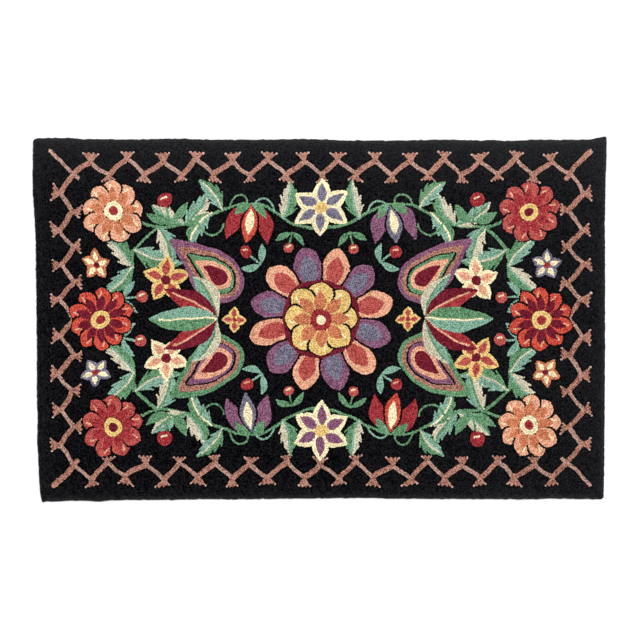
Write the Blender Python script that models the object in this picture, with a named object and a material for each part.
"""A hand-hooked wool rug with a plain black margin, lying flat on the floor.

The rug is one piece. Wool yarn is pulled up in loops through a sheet of foundation cloth, so cloth
and pile lie on the floor as one soft slab, and along all four edges the pile rolls over the turned
cloth as a rounded rim. No rug of this kind is a true rectangle: its sides bow and step in and out
by a few millimetres, its corners are drawn out into small ears, and the top of the pile rises and
sinks a little from place to place.

Units are metres and +Z is up. The origin is the middle of the underside's bounding box, +X runs
along the rug and +Y across it, to its top edge.
"""

import math

import bpy

# Driving dimensions
THICKNESS = 0.0095  # the foundation cloth, and the loops that stand on it
RIM_RADIUS = 0.0038  # how roundly the pile rolls over the edge
RIM_STEPS = 2  # facets in the rim's lower quarter circle, and again in its upper one
OUTLINE_STEP = 0.0075  # from one point of the outline to the next
CORNER_STEPS = 4  # facets in the curve round each corner
LUMP_FADE = 0.03  # the lumps of an edge fade out over this much of it, towards a corner
TOP_RINGS = (0.93, 0.76, 0.54, 0.28)  # rings of points across the top, as shares of the rim's ring

MM = 0.001
WOOL_BLACK = (0.012, 0.012, 0.015, 1.0)
WOOL_ROUGHNESS = 0.95

# Each corner's place in millimetres from the middle, and how far from it the curve round it begins.
CORNERS = {
    "bottom_left": {"at": (-593.3, -391.9), "reach": 5.0},
    "bottom_right": {"at": (607.2, -384.2), "reach": 7.0},
    "top_right": {"at": (613.4, 391.7), "reach": 6.0},
    "top_left": {"at": (-612.6, 387.2), "reach": 10.0},
}

# The sides follow each other anticlockwise, seen from above. A bow is a row of (share of the way
# along the side, millimetres outside the straight line between its two corners).
SIDES = {
    "bottom": {
        "corners": ("bottom_left", "bottom_right"),
        "inwards": (0, 1),
        "lumps": 1.0,
        "bows": (
            (0.0, 0.0), (0.006, -3.4), (0.014, -2.5), (0.06, -4.5), (0.10, -2.4), (0.13, -4.9),
            (0.24, -4.9), (0.30, -5.8), (0.35, -4.8), (0.42, -5.7), (0.58, -6.2), (0.63, -4.1),
            (0.75, -2.6), (0.87, -1.0), (0.91, -2.4), (0.96, -0.8), (1.0, 0.0),
        ),
    },
    "right": {
        "corners": ("bottom_right", "top_right"),
        "inwards": (-1, 0),
        "lumps": 0.3,
        "bows": (
            (0.0, 0.0), (0.08, 0.7), (0.40, 0.5), (0.55, -0.3), (0.66, -1.0), (0.76, -2.0),
            (0.83, -1.7), (0.88, -1.2), (0.93, 0.4), (1.0, 0.0),
        ),
    },
    "top": {
        "corners": ("top_right", "top_left"),
        "inwards": (0, -1),
        "lumps": 1.0,
        "bows": (
            (0.0, 0.0), (0.006, -1.8), (0.03, -7.2), (0.08, -7.7), (0.12, -7.0), (0.17, -9.3),
            (0.20, -7.5), (0.22, -8.3), (0.28, -6.3), (0.36, -7.8), (0.46, -7.4), (0.49, -5.0),
            (0.53, -3.6), (0.59, -4.9), (0.69, -4.6), (0.75, -2.0), (0.82, -3.3), (0.91, -2.2),
            (0.94, 0.5), (1.0, 0.0),
        ),
    },
    "left": {
        "corners": ("top_left", "bottom_left"),
        "inwards": (1, 0),
        "lumps": 0.6,
        "bows": (
            (0.0, 0.0), (0.06, 1.6), (0.13, 3.5), (0.22, 0.9), (0.28, -0.4), (0.39, 1.0),
            (0.55, 2.5), (0.72, 5.4), (0.77, 4.8), (0.83, 7.0), (0.91, 5.4), (0.97, 3.7), (1.0, 0.0),
        ),
    },
}

# The single loops bulge out along an edge. A row is (wavelength, height) in millimetres.
LUMPS = ((17.0, 0.40), (23.0, 0.35), (41.0, 0.30))

# The top of the pile rises and sinks in long, shallow waves. A row is (wavelength along the rug,
# wavelength across it, height) in millimetres.
TOP_WAVES = ((410.0, 300.0, 0.25), (170.0, 230.0, 0.20), (95.0, 140.0, 0.12))


def clear_scene():
    for obj in list(bpy.data.objects):
        bpy.data.objects.remove(obj)


def bow_at(rows, share):
    """How far out the side stands at this share of its way, eased from row to row, in metres."""
    for (start, out), (end, next_out) in zip(rows, rows[1:]):
        if share <= end:
            way = (share - start) / (end - start)
            eased = way * way * (3 - 2 * way)
            return (out + (next_out - out) * eased) * MM
    return rows[-1][1] * MM


def lumps_at(distance):
    """How far the loops bulge out at this distance along a side, in metres."""
    return MM * sum(
        height * math.sin(2 * math.pi * distance / (wavelength * MM) + number)
        for number, (wavelength, height) in enumerate(LUMPS)
    )


def side_run(side):
    """One side's points, between the curves round its two corners, each with its inward way."""
    start, end = (CORNERS[corner] for corner in side["corners"])
    (x0, y0), (x1, y1) = ([value * MM for value in corner["at"]] for corner in (start, end))
    length = math.hypot(x1 - x0, y1 - y0)
    first = start["reach"] * MM
    last = length - end["reach"] * MM
    steps = round((last - first) / OUTLINE_STEP)
    run = []
    for i in range(steps + 1):
        distance = first + (last - first) * i / steps
        share = distance / length
        fade = min(1, distance / LUMP_FADE, (length - distance) / LUMP_FADE)
        out = bow_at(side["bows"], share) + side["lumps"] * fade * lumps_at(distance)
        x = x0 + (x1 - x0) * share - side["inwards"][0] * out
        y = y0 + (y1 - y0) * share - side["inwards"][1] * out
        run.append(((x, y), side["inwards"]))
    return run


def corner_run(before, corner, after):
    """The points of the curve round a corner, between the last point before it and the first after."""
    (start, in_before), (end, in_after) = before, after
    pull = [value * MM for value in corner["at"]]
    run = []
    for i in range(1, CORNER_STEPS):
        t = i / CORNER_STEPS
        weights = ((1 - t) ** 2, 2 * t * (1 - t), t**2)
        point = tuple(sum(w * p[axis] for w, p in zip(weights, (start, pull, end))) for axis in (0, 1))
        way = tuple(in_before[axis] * (1 - t) + in_after[axis] * t for axis in (0, 1))
        size = math.hypot(*way)
        run.append((point, (way[0] / size, way[1] / size)))
    return run


def rug_outline():
    """The rug's edge, anticlockwise, as (point, inward way), centred on its bounding box."""
    runs = [side_run(side) for side in SIDES.values()]
    outline = []
    for number, side in enumerate(SIDES.values()):
        corner = CORNERS[side["corners"][0]]
        outline += corner_run(runs[number - 1][-1], corner, runs[number][0])
        outline += runs[number]
    middle = [
        (min(point[axis] for point, _ in outline) + max(point[axis] for point, _ in outline)) / 2
        for axis in (0, 1)
    ]
    return [((x - middle[0], y - middle[1]), way) for (x, y), way in outline]


def rim_profile():
    """The rim in section, from the underside up: rows of (distance inside the edge, height)."""
    profile = []
    for centre, first_angle in ((RIM_RADIUS, -90), (THICKNESS - RIM_RADIUS, 0)):
        for step in range(RIM_STEPS + 1):
            angle = math.radians(first_angle + 90 * step / RIM_STEPS)
            inside = RIM_RADIUS * (1 - math.cos(angle))
            profile.append((inside, centre + RIM_RADIUS * math.sin(angle)))
    return profile


def top_height(x, y):
    """The height of the pile at this place, never above THICKNESS."""
    height = THICKNESS
    for number, (along, across, wave) in enumerate(TOP_WAVES):
        turn = 2 * math.pi * (x / along + y / across) / MM + 2 * number
        height -= wave * MM * (1 + math.sin(turn)) / 2
    return height


def rug_rings():
    """Rings of points from the rim's foot on the floor, over the edge, and in across the top."""
    outline = rug_outline()
    rings = []
    for inside, height in rim_profile():
        rings.append([(x + u * inside, y + v * inside, height) for (x, y), (u, v) in outline])
    crest = rings[-1]
    rings[-1] = [(x, y, top_height(x, y)) for x, y, _ in crest]
    for share in TOP_RINGS:
        rings.append([(x * share, y * share, top_height(x * share, y * share)) for x, y, _ in crest])
    return rings


def wool_material(name, colour):
    material = bpy.data.materials.new(name)
    material.use_nodes = True
    shader = material.node_tree.nodes["Principled BSDF"]
    shader.inputs["Base Color"].default_value = colour
    shader.inputs["Roughness"].default_value = WOOL_ROUGHNESS
    shader.inputs["Metallic"].default_value = 0.0
    material.diffuse_color = colour
    return material


def make_rug(collection):
    """The slab: bands of faces from ring to ring, closed by a fan below and a fan on top."""
    rings = rug_rings()
    count = len(rings[0])
    points = [point for ring in rings for point in ring]
    faces = []
    for ring in range(len(rings) - 1):
        low, high = ring * count, (ring + 1) * count
        for i in range(count):
            after = (i + 1) % count
            faces.append((low + i, low + after, high + after, high + i))
    foot_middle, top_middle = len(points), len(points) + 1
    points += [(0.0, 0.0, 0.0), (0.0, 0.0, top_height(0.0, 0.0))]
    last = (len(rings) - 1) * count
    for i in range(count):
        after = (i + 1) % count
        faces.append((foot_middle, after, i))
        faces.append((top_middle, last + i, last + after))
    mesh = bpy.data.meshes.new("hooked_rug")
    mesh.from_pydata(points, [], faces)
    mesh.shade_smooth()
    mesh.materials.append(wool_material("wool_pile", WOOL_BLACK))
    rug = bpy.data.objects.new("hooked_rug", mesh)
    collection.objects.link(rug)
    return rug


def main():
    clear_scene()
    collection = bpy.data.collections.new("hooked_rug_parts")
    bpy.context.scene.collection.children.link(collection)
    make_rug(collection)


main()
